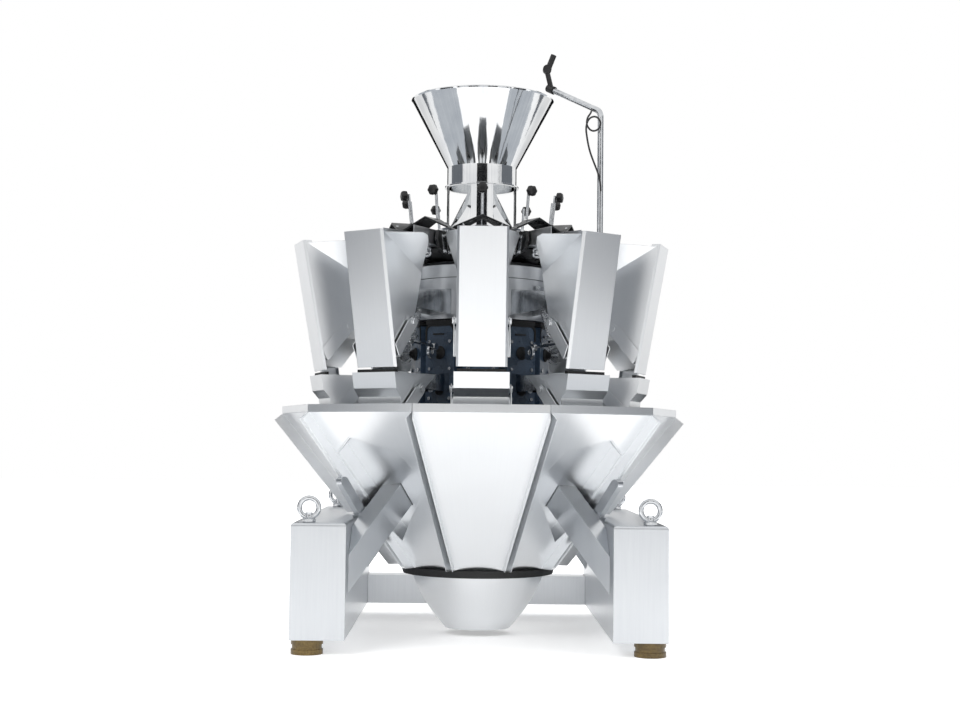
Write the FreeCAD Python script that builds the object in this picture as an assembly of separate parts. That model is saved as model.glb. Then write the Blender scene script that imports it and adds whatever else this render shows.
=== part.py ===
"""Ten-head multihead weigher: infeed funnel, radial feeders, feed and weigh hoppers with sprung
gates, collecting chute and the low frame that carries it.

Millimetres, +Z up. The origin is on the floor under the machine's vertical axis, front towards -Y.
Head k stands at azimuth k * HEAD_PITCH, counted from the front towards +X. A head is drawn in its
own frame at the front: u = outward, v = across (+X), z = up. It is then turned to its place.
"""
import FreeCAD, Part
import math
import os

from FreeCAD import Vector

# ---------------------------------------------------------------- driving dimensions
HEADS = 10
SHEET = 2.0                     # stainless sheet of hoppers, chute and funnel
SEAT = 0.3                      # clearance between pieces that seat on each other

# floor frame
FRAME_HALF_WIDTH = 468.0        # outer faces of the side boxes
FRAME_HALF_DEPTH = 476.0
SIDE_BOX_WIDTH = 137.0
SIDE_BOX_HEIGHT = 288.0
SIDE_BOX_CORNER = 8.0
FOOT_HEIGHT = 37.0
FOOT_RADIUS = 40.0
FOOT_INSET = 41.0               # foot centre inside the ends of the side box
BEAM_DEPTH = 85.0
BEAM_HEIGHT = 85.0
BEAM_WALL = 5.0
EYE_RING_RADIUS = 24.0
EYE_BAR_RADIUS = 6.5
EYE_COLLAR_RADIUS = 17.0
EYE_COLLAR_HEIGHT = 12.0

# support legs and the base that carries the body
LEG_WIDTH = 67.0
LEG_FOOT_Z = 226.0              # centreline height at the inner face of the side box
LEG_HEAD_Z = 455.0              # centreline height at the rim of the base
BASE_RADIUS = 240.0
BASE_BOTTOM = 410.0
BASE_TOP = 500.0

CLAMP_AT = (362.3, 300.8)       # middle of a clamp block in its leg's frame: u, z
CLAMP_LENGTH = 110.0
CLAMP_THICK = 35.0
CLAMP_WIDTH = 29.0
LEVER_LENGTH = 112.0

# collecting chute, a ten-sided inverted pyramid
CHUTE_TOP_Z = 603.0
CHUTE_TOP_APOTHEM = 522.0       # axis to the middle of a side, inner surface
CHUTE_BOTTOM_Z = 187.5
CHUTE_BOTTOM_APOTHEM = 201.0
CHUTE_RIM_HEIGHT = 19.0
CHUTE_FLANGE = 24.0             # outward fold at each side edge
CHUTE_RELIEF = 6.0              # between a fold and the side box it passes
CHUTE_SEAM_GAP = 1.0
HOOD_DEPTH = 42.0               # how far a leg hood reaches into the chute, square to the panel
LEG_PASS = 3.0                  # between a leg and the hood's end plate

# discharge
THROAT_OUTER = 214.0
THROAT_TOP_INNER = 197.0
BOWL_TOP_Z = 167.0
BOWL_TOP_RADIUS = 183.0
BOWL_OUTLET_Z = 17.0
BOWL_OUTLET_RADIUS = 91.0
BOWL_BULGE = 10.0               # how far the side swells beyond a straight cone
BOWL_BANDS = 4

# central body
CORE_RADIUS = 120.0
DRUM_RADIUS = 193.0
DRUM_BOTTOM = 860.0
DRUM_SHOULDER = 972.0
DRUM_TOP = 1016.0
CAP_LIP = 3.0
BOX_WIDTH = 96.0                # actuator box
BOX_FRONT = 187.0
BOX_BOTTOM = 512.0
BOX_TOP = 845.0
BOX_CORNER = 12.0

# feed hopper
FEED_HALF = 64.5
FEED_TOP = (521.0, 1062.0)      # outer face of the outer plate: u, z
FEED_FOOT = (459.0, 717.0)
FEED_BACK_TOP = (355.0, 965.0)
FEED_FLARE_TOP_Z = 1068.0
FEED_FLARE_HALF = 98.0
FLARE_CORNER = 26.0             # trim of its rounded corner
FEED_HINGE = (392.0, 836.0)
FEED_GATE_ANGLE = 51.4          # below the horizontal, outwards
FEED_GATE_REACH = 110.0

# weigh hopper
WEIGH_HALF = 70.0
WEIGH_TOP = (469.0, 704.0)
WEIGH_STEP = ((461.5, 663.0), (443.0, 642.0))
WEIGH_FOOT = (437.0, 590.0)
WEIGH_BACK_TOP = (294.0, 704.0)
WEIGH_HINGE = (364.0, 664.0)
WEIGH_GATE_ANGLE = 45.0
WEIGH_GATE_REACH = 104.0

# gates
GATE_CLEAR = 5.0                # gate cheek to hopper wall
GATE_DROP = 12.0                # pivot to the inside of the gate plate
GATE_RISE = 20.0                # pivot to the top of the gate cheek
GATE_HEEL = 8.0                 # pivot to the near end of the plate
PIVOT_RADIUS = 5.0
PIVOT_PLAY = 0.1
BOSS_RADIUS = 14.0
ARM_THICK = 4.0                 # flat arms of the hopper brackets

# radial feeders
PAN_INNER = 82.0
PAN_OUTER = 375.0
PAN_FLOOR = 1050.0
PAN_TOP = 1090.0
PAN_HALF_INNER = 22.0
PAN_HALF_OUTER = 52.0
DRIVE_INNER = 150.0
DRIVE_OUTER = 286.0
COVER_INNER = 198.0
COVER_OUTER = 262.0
COVER_HALF = 63.0
COVER_LIFT = 4.0                # eaves over the pan
COVER_RISE = 37.0
COVER_EAVE = PAN_TOP + COVER_LIFT
COVER_PEAK = COVER_EAVE + COVER_RISE
KNOB_STAND = 76.0               # knob over the ridge
KNOB_Z = COVER_PEAK + KNOB_STAND
KNOB_RADIUS = 12.5
KNOB_LOBES = 6
KNOB_THICK = 17.0
ROD_RADIUS = 4.0
ROD_FOOT_U = 205.0
ROD_HEAD_U = 214.0

# infeed
CONE_RIM = 104.0
CONE_SKIRT = 8.0
CONE_TIP = 4.0
PAN_TO_CONE = 2.0               # running gap over the vibrating pans
CONE_RIM_Z = PAN_TOP + PAN_TO_CONE + CONE_SKIRT
CONE_APEX_Z = 1300.0
CONE_DRIVE_RADIUS = 58.0
FUNNEL_RIM = 197.0
FUNNEL_TOP = 1492.0
COLLAR_RADIUS = 98.0
COLLAR_TOP = 1297.0
COLLAR_BOTTOM = 1245.0
FUNNEL_LEGS = 4
FUNNEL_LEG_WIDTH = 61.0
RING_INNER = 104.0
RING_OUTER = 126.0
RING_Z = 1114.0
RING_THICK = 6.0
STAND_POSTS = 5

# product level sensor
SENSOR_AZIMUTH = 54.0
SENSOR_RADIUS = 388.0
SENSOR_TUBE = 8.0
SENSOR_BEND = 24.0              # centreline radius of its bends
SENSOR_ARM_Z = 930.0
SENSOR_BEND_Z = 1415.0
CABLE_RADIUS = 2.5

HEAD_PITCH = 360.0 / HEADS
HALF_PITCH = math.radians(HEAD_PITCH / 2)
UP = Vector(0, 0, 1)
ORIGIN = Vector(0, 0, 0)
SIDE_BOX_TOP = FOOT_HEIGHT + SIDE_BOX_HEIGHT
INNER_FACE = FRAME_HALF_WIDTH - SIDE_BOX_WIDTH


# ---------------------------------------------------------------- helpers
def at(u, v, z):
    """A point of the head's own frame at the front of the machine."""
    return Vector(v, -u, z)


def turned(shape, azimuth):
    """The shape turned about the machine's axis."""
    copy = shape.copy()
    copy.rotate(ORIGIN, UP, azimuth)
    return copy


def every_head(shape):
    return [turned(shape, k * HEAD_PITCH) for k in range(HEADS)]


def face_of(points):
    return Part.Face(Part.makePolygon(list(points) + [points[0]]))


def slab(profile, v_from, v_to):
    """A (u, z) outline drawn at v_from and extruded across the head to v_to."""
    outline = [at(u, v_from, z) for u, z in profile]
    return face_of(outline).extrude(Vector(v_to - v_from, 0, 0))


def plate(points, thickness):
    """A flat plate on coplanar points, thickened along their normal."""
    side = points[1] - points[0]
    normal = side.cross(points[2] - points[1])
    normal.normalize()
    return face_of(points).extrude(normal * thickness)


def fused(shapes):
    whole = shapes[0].fuse(shapes[1:]) if len(shapes) > 1 else shapes[0]
    return whole.removeSplitter()


def rod(start, end, radius):
    axis = end - start
    return Part.makeCylinder(radius, axis.Length, start, axis)


def bar(start, end, radius, sides=6):
    """A polygonal bar, such as a hexagon head or a tie bar."""
    axis = end - start
    first = axis.cross(Vector(0.3, 0.2, 1))
    first.normalize()
    other = axis.cross(first)
    other.normalize()
    angles = [2 * math.pi * i / sides for i in range(sides)]
    points = [start + first * (radius * math.cos(a)) + other * (radius * math.sin(a)) for a in angles]
    return face_of(points).extrude(axis)


def revolved(outline):
    """A closed (radius, z) outline turned about the machine's axis."""
    points = [Vector(r, 0, z) for r, z in outline]
    return face_of(points).revolve(ORIGIN, UP, 360)


def mirrored(shape, normal):
    return shape.mirror(ORIGIN, normal)


def export(node, shapes):
    """Write a node's solids, each checked, as one STEP file."""
    solids = []
    for shape in shapes:
        solids.extend(shape.Solids)
    for solid in solids:
        if not solid.isValid() or solid.Volume <= 0:
            raise ValueError(node + " has a bad solid")
    Part.makeCompound(solids).exportStep("parts/" + node + ".step")


# ---------------------------------------------------------------- floor frame
def side_box():
    """Right-hand frame box, a closed sheet housing that runs from front to rear."""
    corner = Vector(INNER_FACE, -FRAME_HALF_DEPTH, FOOT_HEIGHT)
    box = Part.makeBox(SIDE_BOX_WIDTH, 2 * FRAME_HALF_DEPTH, SIDE_BOX_HEIGHT, corner)
    upper = [e for e in box.Edges if e.BoundBox.ZMin > SIDE_BOX_TOP - 1]
    return box.makeFillet(SIDE_BOX_CORNER, upper)


def foot_centres():
    x = FRAME_HALF_WIDTH - FOOT_INSET
    y = FRAME_HALF_DEPTH - FOOT_INSET
    return [Vector(sx * x, sy * y, 0) for sx in (-1, 1) for sy in (-1, 1)]


def foot(centre):
    """Damping foot: two rubber discs with a waist."""
    waist = FOOT_RADIUS - 3
    third = (FOOT_HEIGHT - SEAT) / 3
    radii = (FOOT_RADIUS, waist, FOOT_RADIUS)
    discs = [Part.makeCylinder(r, third, centre + UP * (i * third)) for i, r in enumerate(radii)]
    return fused(discs)


def rear_beam():
    """Rectangular tube between the side boxes at the rear."""
    length = 2 * (INNER_FACE - SEAT)
    corner = Vector(-length / 2, FRAME_HALF_DEPTH - BEAM_DEPTH, FOOT_HEIGHT)
    tube = Part.makeBox(length, BEAM_DEPTH, BEAM_HEIGHT, corner)
    bore = Part.makeBox(
        length, BEAM_DEPTH - 2 * BEAM_WALL, BEAM_HEIGHT - 2 * BEAM_WALL,
        corner + Vector(0, BEAM_WALL, BEAM_WALL),
    )
    return tube.cut(bore)


def lifting_eye(centre):
    """Eye bolt with its collar on the side box; the ring has an eight-sided section."""
    base = Vector(centre.x, centre.y, SIDE_BOX_TOP + SEAT)
    collar = Part.makeCone(EYE_COLLAR_RADIUS, EYE_COLLAR_RADIUS - 5, EYE_COLLAR_HEIGHT, base)
    ring_centre = base + UP * (EYE_COLLAR_HEIGHT + EYE_RING_RADIUS)
    section = []
    for i in range(8):
        a = math.pi * (2 * i + 1) / 8
        section.append(ring_centre + Vector(EYE_RING_RADIUS + EYE_BAR_RADIUS * math.cos(a),
                                            EYE_BAR_RADIUS * math.sin(a), 0))
    ring = face_of(section).revolve(ring_centre, Vector(0, 1, 0), 360)
    return fused([collar, ring])


# ---------------------------------------------------------------- legs and base
LEG_FOOT_R = INNER_FACE * math.sqrt(2)
LEG_SLOPE = math.atan2(LEG_HEAD_Z - LEG_FOOT_Z, LEG_FOOT_R - BASE_RADIUS)
LEG_AZIMUTHS = (45.0, 135.0, 225.0, 315.0)


def leg_bar(width, extra):
    """Square bar along the leg's centreline in the head frame, longer than the leg by extra."""
    run = Vector(0, math.cos(LEG_SLOPE), math.sin(LEG_SLOPE))
    across = Vector(0, -math.sin(LEG_SLOPE), math.cos(LEG_SLOPE))
    start = at(LEG_FOOT_R, 0, LEG_FOOT_Z) - run * extra
    half = width / 2
    side = Vector(half, 0, 0)
    corners = [start + side + across * half, start - side + across * half,
               start - side - across * half, start + side - across * half]
    length = math.hypot(LEG_FOOT_R - BASE_RADIUS, LEG_HEAD_Z - LEG_FOOT_Z) + 2 * extra
    return face_of(corners).extrude(run * length)


def support_leg(azimuth):
    """Closed square leg from the side box up to the rim of the base, cut flat at both."""
    reach = 2 * FRAME_HALF_DEPTH
    hub = Part.makeBox(reach, reach, reach, Vector(-reach / 2, -BASE_RADIUS - SEAT, 0))
    leg = turned(leg_bar(LEG_WIDTH, 90).cut(hub), azimuth)
    inside = Part.makeBox(
        2 * (INNER_FACE - SEAT), reach, reach,
        Vector(-(INNER_FACE - SEAT), -reach / 2, 0),
    )
    return leg.common(inside)


def leg_clamp(side):
    """Clamp block on a leg's flank with the lever that holds the chute seam; side is +1 or -1."""
    steep = math.atan(CHUTE_RUN)
    along = (math.sin(steep), math.cos(steep))
    out = (math.cos(steep), -math.sin(steep))

    def p(a, b):
        return (CLAMP_AT[0] + a * along[0] + b * out[0], CLAMP_AT[1] + a * along[1] + b * out[1])

    near = LEG_WIDTH / 2 + SEAT
    half, thick = CLAMP_LENGTH / 2, CLAMP_THICK / 2
    ends = sorted((side * near, side * (near + CLAMP_WIDTH)))
    block = slab([p(-half, -thick), p(half, -thick), p(half, thick), p(-half, thick)], ends[0], ends[1])
    lever_half = CLAMP_THICK * 0.36
    tip = half + LEVER_LENGTH - lever_half
    lever = slab([p(half - 5, -lever_half), p(tip, -lever_half), p(tip, lever_half),
                  p(half - 5, lever_half)], ends[0] + 4, ends[1] - 4)
    nose = Part.makeCylinder(lever_half, CLAMP_WIDTH - 8, at(p(tip, 0)[0], ends[0] + 4, p(tip, 0)[1]),
                             Vector(1, 0, 0))
    return fused([block, lever, nose])


def centre_base():
    """Disc at the heart of the chute that carries the body on the four legs."""
    edge = 12.0
    outline = [(0, BASE_BOTTOM), (BASE_RADIUS - edge, BASE_BOTTOM),
               (BASE_RADIUS, BASE_BOTTOM + edge), (BASE_RADIUS, BASE_TOP - edge),
               (BASE_RADIUS - edge, BASE_TOP), (0, BASE_TOP)]
    return revolved(outline)


# ---------------------------------------------------------------- chute and discharge
CHUTE_RUN = (CHUTE_TOP_APOTHEM - CHUTE_BOTTOM_APOTHEM) / (CHUTE_TOP_Z - CHUTE_BOTTOM_Z)


def chute_apothem(z):
    return CHUTE_BOTTOM_APOTHEM + (z - CHUTE_BOTTOM_Z) * CHUTE_RUN


def chute_half(z, inset=0.0):
    """Half the width of a side of the chute at height z."""
    return chute_apothem(z) * math.tan(HALF_PITCH) - inset


def chute_panel():
    """One side of the chute: sloping plate, upright rim and folded side flanges."""
    zs = (CHUTE_BOTTOM_Z, CHUTE_TOP_Z)
    gap = CHUTE_SEAM_GAP / 2
    low = chute_half(zs[0], gap)
    high = chute_half(zs[1], gap)
    sheet = plate([at(CHUTE_BOTTOM_APOTHEM, -low, zs[0]), at(CHUTE_BOTTOM_APOTHEM, low, zs[0]),
                   at(CHUTE_TOP_APOTHEM, high, zs[1]), at(CHUTE_TOP_APOTHEM, -high, zs[1])], SHEET)
    thick = SHEET / math.cos(math.atan(CHUTE_RUN))
    rim = slab([(CHUTE_TOP_APOTHEM, zs[1]), (CHUTE_TOP_APOTHEM + thick, zs[1]),
                (CHUTE_TOP_APOTHEM + thick, zs[1] + CHUTE_RIM_HEIGHT),
                (CHUTE_TOP_APOTHEM, zs[1] + CHUTE_RIM_HEIGHT)], -high, high)
    flanges = []
    for sign in (-1, 1):
        root = [at(CHUTE_BOTTOM_APOTHEM, sign * low, zs[0]), at(CHUTE_TOP_APOTHEM, sign * high, zs[1])]
        out = Vector(0, -CHUTE_FLANGE, -CHUTE_FLANGE * CHUTE_RUN)
        fin = face_of([root[0], root[1], root[1] + out, root[0] + out])
        flanges.append(fin.extrude(Vector(-sign * SHEET, 0, 0)))
    reach = 2 * FRAME_HALF_DEPTH
    below = Part.makeBox(reach, reach, CHUTE_BOTTOM_Z, Vector(-reach / 2, -reach, 0))
    return fused([sheet, rim] + flanges).cut(below)


def beside_boxes(panel):
    """The panel with its folds relieved where they pass the side boxes."""
    reach = INNER_FACE - CHUTE_RELIEF
    for x in (reach, -reach - FRAME_HALF_WIDTH):
        low = Vector(x, -FRAME_HALF_DEPTH, 0)
        panel = panel.cut(Part.makeBox(FRAME_HALF_WIDTH, 2 * FRAME_HALF_DEPTH,
                                       SIDE_BOX_TOP + CHUTE_RELIEF, low))
    return panel


# outline of a leg hood on its panel: across from the panel's middle towards the front or rear, z
HOOD_OUTLINE = ((-73.0, 540.0), (63.0, 507.0), (102.0, 435.0), (72.0, 388.0), (-62.0, 262.0),
                (-82.0, 290.0), (-136.0, 500.0))


def panel_point(across, z, side):
    """A point on the outer face of a chute side; side is +1 where the leg lies towards +v."""
    return at(chute_apothem(z), -side * across, z)


def hood_prism(side, inset, low, high):
    """Hood outline drawn inset, from low to high millimetres square to the panel, inwards."""
    middle = [sum(p[i] for p in HOOD_OUTLINE) / len(HOOD_OUTLINE) for i in (0, 1)]
    points = []
    for across, z in HOOD_OUTLINE:
        away = math.hypot(across - middle[0], z - middle[1])
        share = 1 - inset / away
        points.append(panel_point(middle[0] + (across - middle[0]) * share,
                                  middle[1] + (z - middle[1]) * share, side))
    inward = Vector(0, 1, CHUTE_RUN)
    inward.normalize()
    moved = [p + inward * low for p in points]
    return face_of(moved).extrude(inward * (high - low))


def leg_panel(side):
    """A chute side with an opening, and the sheet hood in it that a support leg passes through."""
    panel = chute_panel().cut(hood_prism(side, 0, -CHUTE_FLANGE, CHUTE_FLANGE))
    body = hood_prism(side, SEAT, -SHEET, HOOD_DEPTH)
    hollow = hood_prism(side, SEAT + SHEET * 1.4, -2 * SHEET, HOOD_DEPTH - SHEET)
    leg = turned(leg_bar(LEG_WIDTH + 2 * LEG_PASS, 90), side * (LEG_AZIMUTHS[0] - HEAD_PITCH))
    return [panel, body.cut(hollow).cut(leg)]


def throat():
    """Rubber collar between the ten-sided chute and the round bowl."""
    top = CHUTE_BOTTOM_Z - SEAT
    low = BOWL_TOP_Z + SEAT
    inner = BOWL_TOP_RADIUS - 5
    return revolved([(THROAT_TOP_INNER, top), (THROAT_OUTER, top), (THROAT_OUTER - 6, low),
                     (inner, low)])


def bowl():
    """Round discharge bowl: a side that swells gently in bands and an open outlet."""
    wall = 3.0
    outer = []
    for i in range(BOWL_BANDS + 1):
        t = i / BOWL_BANDS
        swell = BOWL_BULGE * math.sin(math.pi * t)
        outer.append((BOWL_TOP_RADIUS + (BOWL_OUTLET_RADIUS - BOWL_TOP_RADIUS) * t + swell,
                      BOWL_TOP_Z + (BOWL_OUTLET_Z - BOWL_TOP_Z) * t))
    inner = [(r - wall, z) for r, z in reversed(outer)]
    return revolved(outer + inner)


# ---------------------------------------------------------------- central body
def body_drum():
    """Core column, drum and the slightly wider cap on top of it, one welded housing."""
    lip = DRUM_RADIUS + CAP_LIP
    edge = 10.0
    return revolved([(0, BASE_TOP + SEAT), (CORE_RADIUS, BASE_TOP + SEAT), (CORE_RADIUS, DRUM_BOTTOM),
                     (DRUM_RADIUS, DRUM_BOTTOM), (DRUM_RADIUS, DRUM_SHOULDER), (lip, DRUM_SHOULDER),
                     (lip, DRUM_TOP - edge), (lip - edge, DRUM_TOP), (0, DRUM_TOP)])


def actuator_box():
    """Drive housing of one head, with rounded shoulders."""
    half = BOX_WIDTH / 2
    depth = BOX_FRONT - CORE_RADIUS - SEAT
    box = Part.makeBox(BOX_WIDTH, depth, BOX_TOP - BOX_BOTTOM, Vector(-half, -BOX_FRONT, BOX_BOTTOM))
    shoulders = [e for e in box.Edges
                 if e.BoundBox.ZMin > BOX_TOP - 1 and e.BoundBox.YLength > depth - 1]
    apex = SEAT / math.sin(HALF_PITCH)
    flank = (BOX_FRONT - apex) * math.tan(HALF_PITCH)
    sector = face_of([at(apex, 0, BOX_BOTTOM), at(BOX_FRONT, flank, BOX_BOTTOM), at(BOX_FRONT, -flank, BOX_BOTTOM)])
    return box.makeFillet(BOX_CORNER, shoulders).common(sector.extrude(UP * (BOX_TOP - BOX_BOTTOM)))


# ---------------------------------------------------------------- hoppers and gates
def gate_point(hinge, angle, along, rise):
    """(u, z) of a point given along the gate and square to it, counted from the pivot."""
    a = math.radians(angle)
    return (hinge[0] + along * math.cos(a) + rise * math.sin(a),
            hinge[1] - along * math.sin(a) + rise * math.cos(a))


def gate(hinge, angle, reach, half):
    """Tray-shaped gate: plate under the hopper and a cheek outside each side wall."""
    inner = half + GATE_CLEAR
    outer = inner + SHEET

    def p(along, rise):
        return gate_point(hinge, angle, along, rise)

    floor = slab([p(GATE_HEEL, -GATE_DROP), p(reach, -GATE_DROP),
                  p(reach, -GATE_DROP - SHEET), p(GATE_HEEL, -GATE_DROP - SHEET)], -outer, outer)
    pieces = [floor]
    for sign in (-1, 1):
        ends = sorted((sign * inner, sign * outer))
        cheek = slab([p(0, GATE_RISE * 0.6), p(BOSS_RADIUS, GATE_RISE), p(reach - 14, GATE_RISE),
                      p(reach, -GATE_DROP), p(reach, -GATE_DROP - SHEET),
                      p(0, -GATE_DROP - SHEET)], ends[0], ends[1])
        boss = bar(at(hinge[0], ends[0], hinge[1]), at(hinge[0], ends[1], hinge[1]), BOSS_RADIUS, 10)
        pieces += [cheek, boss]
    bore = Part.makeCylinder(PIVOT_RADIUS + PIVOT_PLAY, 2 * outer + 2,
                             at(hinge[0], -outer - 1, hinge[1]), Vector(1, 0, 0))
    return fused(pieces).cut(bore)


def pivot_studs(hinge, half):
    """Shoulder bolts through both side walls that carry the gate: hexagon, shank, hexagon."""
    studs = []
    for sign in (-1, 1):
        def out(distance):
            return at(hinge[0], sign * (half - SHEET / 2 + distance), hinge[1])

        gate_face = SHEET / 2 + GATE_CLEAR + SHEET
        studs.append(rod(out(0), out(gate_face + 4), PIVOT_RADIUS))
        studs.append(bar(out(0), out(SHEET / 2 + GATE_CLEAR - 1), PIVOT_RADIUS + 4))
        studs.append(bar(out(gate_face + 1), out(gate_face + 4), PIVOT_RADIUS + 4))
    return studs


def lean(top, foot_point, z):
    """u of the outer face of a leaning plate at height z."""
    return foot_point[0] + (z - foot_point[1]) * (top[0] - foot_point[0]) / (top[1] - foot_point[1])


def clipped_corner(root, corner):
    """Three points that round off the free corner of a flare plate."""
    to_inner, to_outer = root[1] - corner, root[0] - corner
    to_inner.normalize()
    to_outer.normalize()
    middle = corner + (to_inner + to_outer) * (FLARE_CORNER * 0.3)
    return [corner + to_inner * FLARE_CORNER, middle, corner + to_outer * FLARE_CORNER]


def feed_hopper():
    """Open-topped hopper: leaning outer plate with folded edges, flared side walls and a back."""
    half = FEED_HALF
    bevel = 6.0
    lip = 22.0
    u, z = FEED_FOOT
    section = [at(u - lip, -half, z), at(u - bevel, -half, z), at(u, -half + bevel, z),
               at(u, half - bevel, z), at(u - bevel, half, z), at(u - lip, half, z),
               at(u - lip, half - SHEET, z), at(u - bevel - SHEET / 2, half - SHEET, z),
               at(u - SHEET, half - bevel - SHEET / 2, z), at(u - SHEET, bevel + SHEET / 2 - half, z),
               at(u - bevel - SHEET / 2, SHEET - half, z), at(u - lip, SHEET - half, z)]
    rise = Vector(0, FEED_FOOT[0] - FEED_TOP[0], FEED_TOP[1] - FEED_FOOT[1])
    outer = face_of(section).extrude(rise)
    seat = gate_point(FEED_HINGE, FEED_GATE_ANGLE, GATE_HEEL, 1 - GATE_DROP)
    end_along = FEED_GATE_REACH - 2
    end = gate_point(FEED_HINGE, FEED_GATE_ANGLE, end_along, 1 - GATE_DROP)
    corner = (lean(FEED_TOP, FEED_FOOT, end[1]) - bevel, end[1] + GATE_CLEAR)
    shy = bevel + SHEET             # below the gate only the bevelled plate goes on
    free = end[1] + GATE_CLEAR
    under = [gate_point(FEED_HINGE, FEED_GATE_ANGLE, end_along / 2, 1 - GATE_DROP),
             gate_point(FEED_HINGE, FEED_GATE_ANGLE, end_along - 2 * GATE_CLEAR, 1 - GATE_DROP),
             (lean(FEED_TOP, FEED_FOOT, free) - shy, free),
             (FEED_FOOT[0] - shy, FEED_FOOT[1] - 1), (FEED_BACK_TOP[0], FEED_FOOT[1] - 1)]
    outer = outer.cut(slab(under, -half - 1, half + 1))
    tip = (FEED_TOP[0] - 8, FEED_TOP[1] - 6)
    wall = [tip, FEED_BACK_TOP, seat, end, corner]
    pieces = [outer]
    for sign in (-1, 1):
        ends = sorted((sign * half, sign * (half - SHEET)))
        pieces.append(slab(wall, ends[0], ends[1]))
        root = half - SHEET * 0.6
        flare = [at(tip[0] + SHEET, sign * root, tip[1] - SHEET),
                 at(FEED_BACK_TOP[0] + SHEET, sign * root, FEED_BACK_TOP[1] - SHEET)]
        flare += clipped_corner(flare, at(FEED_BACK_TOP[0] + 6, sign * FEED_FLARE_HALF, FEED_FLARE_TOP_Z))
        if sign > 0:
            flare.reverse()
        pieces.append(plate(flare, SHEET))
    back = [FEED_BACK_TOP, (FEED_BACK_TOP[0] + SHEET, FEED_BACK_TOP[1]), (seat[0] + SHEET, seat[1]), seat]
    pieces.append(slab(back, -half, half))
    return fused(pieces + pivot_studs(FEED_HINGE, half))


def weigh_hopper():
    """Weigh bucket: stepped outer plate, side walls, sloping back and pivot studs."""
    half = WEIGH_HALF
    profile = [WEIGH_TOP, WEIGH_STEP[0], WEIGH_STEP[1], WEIGH_FOOT]
    inner = [(u - SHEET, z) for u, z in reversed(profile)]
    pieces = [slab(profile + inner, -half, half)]
    seat = gate_point(WEIGH_HINGE, WEIGH_GATE_ANGLE, GATE_HEEL, 1 - GATE_DROP)
    end = gate_point(WEIGH_HINGE, WEIGH_GATE_ANGLE, WEIGH_GATE_REACH - 4, 1 - GATE_DROP)
    wall = [WEIGH_TOP, WEIGH_STEP[0], WEIGH_STEP[1], (WEIGH_FOOT[0], end[1]), end, seat,
            WEIGH_BACK_TOP]
    for sign in (-1, 1):
        ends = sorted((sign * half, sign * (half - SHEET)))
        pieces.append(slab(wall, ends[0], ends[1]))
    back = [WEIGH_BACK_TOP, (WEIGH_BACK_TOP[0] + SHEET, WEIGH_BACK_TOP[1]), (seat[0] + SHEET, seat[1]),
            seat]
    pieces.append(slab(back, -half, half))
    return fused(pieces + pivot_studs(WEIGH_HINGE, half))


def bracket(root, tip_high, tip_low, low, high, spread, bar_u, bar_z):
    """Two flat arms and the hexagon tie bar between them, as separate solids."""
    solids = []
    for v in (-spread, spread):
        solids.append(slab([(root, low), (root, high), tip_high, tip_low],
                           v - ARM_THICK / 2, v + ARM_THICK / 2))
    inner = spread - ARM_THICK / 2 - SEAT
    solids.append(bar(at(bar_u, -inner, bar_z), at(bar_u, inner, bar_z), 6.5))
    return solids


def hanger():
    """Brackets of one head: the upper carries the feed hopper, the lower the weigh hopper."""
    seat = gate_point(FEED_HINGE, FEED_GATE_ANGLE, GATE_HEEL, 1 - GATE_DROP)
    high = DRUM_BOTTOM + 62
    low = high - 42

    def feed_back(z):
        return lean(FEED_BACK_TOP, seat, z) - SEAT

    spread = 36.0
    root = math.sqrt((DRUM_RADIUS + SEAT) ** 2 - (spread - ARM_THICK / 2) ** 2)
    upper = bracket(root, (feed_back(high), high), (feed_back(low), low), DRUM_BOTTOM + 12, high + 18,
                    spread, 300.0, high - 22)
    weigh_low = gate_point(WEIGH_HINGE, WEIGH_GATE_ANGLE, GATE_HEEL, 1 - GATE_DROP)
    high = WEIGH_BACK_TOP[1] - 4
    low = high - 30

    def weigh_back(z):
        return lean(WEIGH_BACK_TOP, weigh_low, z) - 2 * SEAT

    lower = bracket(BOX_FRONT + SEAT, (weigh_back(high), high), (weigh_back(low), low), low - 8,
                    high + 14, 30.0, 250.0, high - 16)
    return upper + lower


# ---------------------------------------------------------------- radial feeders
PAN_TAPER = math.atan2(PAN_HALF_OUTER - PAN_HALF_INNER, PAN_OUTER - PAN_INNER)


def pan_half(u):
    """Half the width of the pan at radius u."""
    return PAN_HALF_INNER + (u - PAN_INNER) * math.tan(PAN_TAPER)


def feeder_pan():
    """Tapered trough that carries product from the cone to the feed hopper."""
    def ends(z, inset):
        return [at(PAN_INNER, inset - PAN_HALF_INNER, z), at(PAN_INNER, PAN_HALF_INNER - inset, z),
                at(PAN_OUTER, PAN_HALF_OUTER - inset, z), at(PAN_OUTER, inset - PAN_HALF_OUTER, z)]

    body = face_of(ends(PAN_FLOOR, 0)).extrude(UP * (PAN_TOP - PAN_FLOOR))
    hollow = face_of(ends(PAN_FLOOR + SHEET, SHEET)).extrude(UP * PAN_TOP)
    mouth = slab([(PAN_OUTER - 1, PAN_FLOOR + SHEET), (PAN_OUTER + 1, PAN_FLOOR + SHEET),
                  (PAN_OUTER + 1, PAN_TOP + 1), (PAN_OUTER - 1, PAN_TOP + 1)],
                 -PAN_HALF_OUTER, PAN_HALF_OUTER)
    return body.cut(hollow).cut(mouth)


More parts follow.
